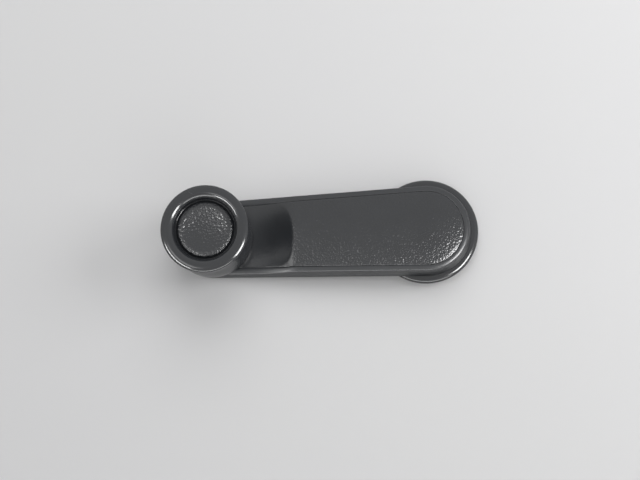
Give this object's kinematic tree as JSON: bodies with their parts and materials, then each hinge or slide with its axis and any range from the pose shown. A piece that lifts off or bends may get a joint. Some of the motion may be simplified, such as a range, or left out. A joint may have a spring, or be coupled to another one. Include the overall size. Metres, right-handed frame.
{
  "type": "window crank handle",
  "caption": "Car-door window crank handle: splined hub with spring clip, tapered arm with grained inset, trim disc and spinning waisted knob.",
  "frame": {"origin": "on the spindle's axis, in the plane of the trim disc's foot, where the handle meets the door's panel", "axes": "+Z along the spindle's axis, away from the door; -X along the arm, towards the knob"},
  "size_m": [0.1323, 0.0452, 0.0367],
  "materials": {
    "smooth_plastic": "semi-gloss moulded dark grey plastic",
    "grained_plastic": "dark grey plastic with a fine pebble grain",
    "plated_steel": "zinc-plated steel",
    "spring_steel": "phosphated spring steel",
    "nylon": "natural nylon"
  },
  "bodies": {
    "handle": {"arm_body": "smooth_plastic", "arm_cover": "grained_plastic", "arm_core": "plated_steel", "hub_socket": "plated_steel", "knob_pin": "plated_steel", "knob_washer": "nylon", "knob_spring_washer": "spring_steel"},
    "knob": {"knob_body": "smooth_plastic", "knob_cap": "grained_plastic"},
    "escutcheon": {"escutcheon": "smooth_plastic"},
    "clip": {"retaining_clip": "spring_steel"}
  },
  "joints": [
    {"name": "knob_spin", "type": "hinge", "parent": "handle", "child": "knob", "pos_m": [-0.0915, 0, 0.01], "axis": [0, 0, 1], "continuous": true},
    {"name": "escutcheon_turn", "type": "hinge", "parent": "handle", "child": "escutcheon", "pos_m": [0, 0, 0], "axis": [0, 0, 1], "continuous": true},
    {"name": "clip_release", "type": "slide", "parent": "handle", "child": "clip", "axis": [-1, 0, 0], "range_m": [0, 0.0085]}
  ]
}
